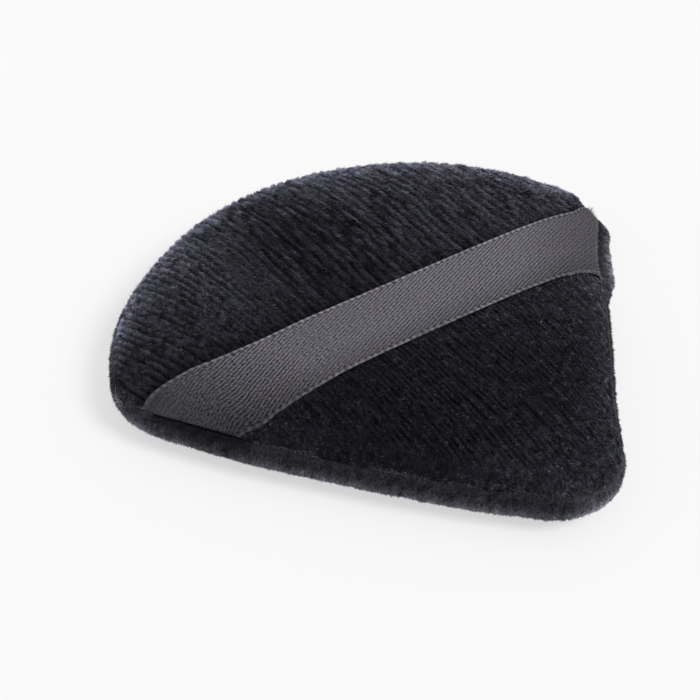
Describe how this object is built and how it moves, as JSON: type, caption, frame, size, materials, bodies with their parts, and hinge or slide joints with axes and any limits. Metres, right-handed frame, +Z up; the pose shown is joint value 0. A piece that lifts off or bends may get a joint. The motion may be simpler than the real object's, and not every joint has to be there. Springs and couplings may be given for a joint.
{
  "type": "powder puff",
  "caption": "Flat rounded-triangle velour powder puff, sponge filled, with a satin ribbon sewn across the top as a finger strap.",
  "frame": {"origin": "centre of the puff's outline, on the surface that it rests on", "axes": "+Z up through the puff's thickness, -Y towards the pointed tip, X along the ribbon"},
  "size_m": [0.0828, 0.0818, 0.0114],
  "materials": {
    "velour_lower": "short ribbed plush pile, matt with a pale sheen at grazing angles",
    "velour_upper": "short ribbed plush pile, matt with a pale sheen at grazing angles",
    "sponge": "open-cell cut foam",
    "satin_ribbon": "satin weave with corded selvedges",
    "sewing_thread": "spun polyester"
  },
  "bodies": {
    "puff": {"lower_cover": "velour_lower", "upper_cover": "velour_upper", "foam_core": "sponge", "needle_thread": "sewing_thread", "bobbin_thread": "sewing_thread", "closing_thread": "sewing_thread"},
    "ribbon_strap": {"ribbon": "satin_ribbon"}
  },
  "joints": [
    {"name": "ribbon_lift", "type": "slide", "parent": "puff", "child": "ribbon_strap", "axis": [0, 0, 1], "range_m": [0, 0.008], "stiffness_N_per_m": 5, "deforming": ["ribbon"]}
  ]
}
